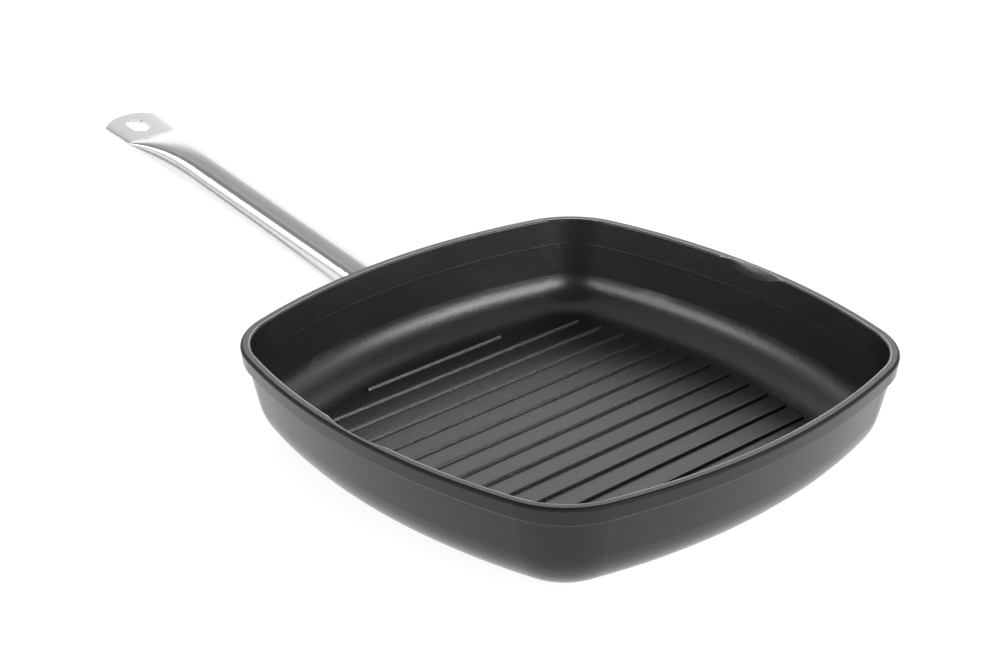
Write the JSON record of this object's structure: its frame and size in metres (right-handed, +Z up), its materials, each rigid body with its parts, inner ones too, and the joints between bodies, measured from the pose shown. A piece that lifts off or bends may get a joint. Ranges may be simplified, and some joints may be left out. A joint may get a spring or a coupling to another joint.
{
  "type": "grill pan",
  "caption": "Square cast grill pan with bulged sides, raised ribs on the floor, pouring scoops in the rim and a rising steel tube handle with a hanging hole.",
  "frame": {"origin": "middle of the underside, on the surface that the pan stands on", "axes": "+Y along the handle towards its free end, +Z up, +X across the pan towards one pouring scoop"},
  "size_m": [0.2796, 0.5233, 0.0698],
  "materials": {
    "coated_casting": "cast aluminium under a black non-stick coating, satin outside and finely grained inside",
    "handle_steel": "satin stainless steel",
    "screw_steel": "plain stainless steel"
  },
  "bodies": {
    "root": {"pan_body": "coated_casting", "handle_tube": "handle_steel", "handle_screw": "screw_steel"}
  },
  "joints": []
}
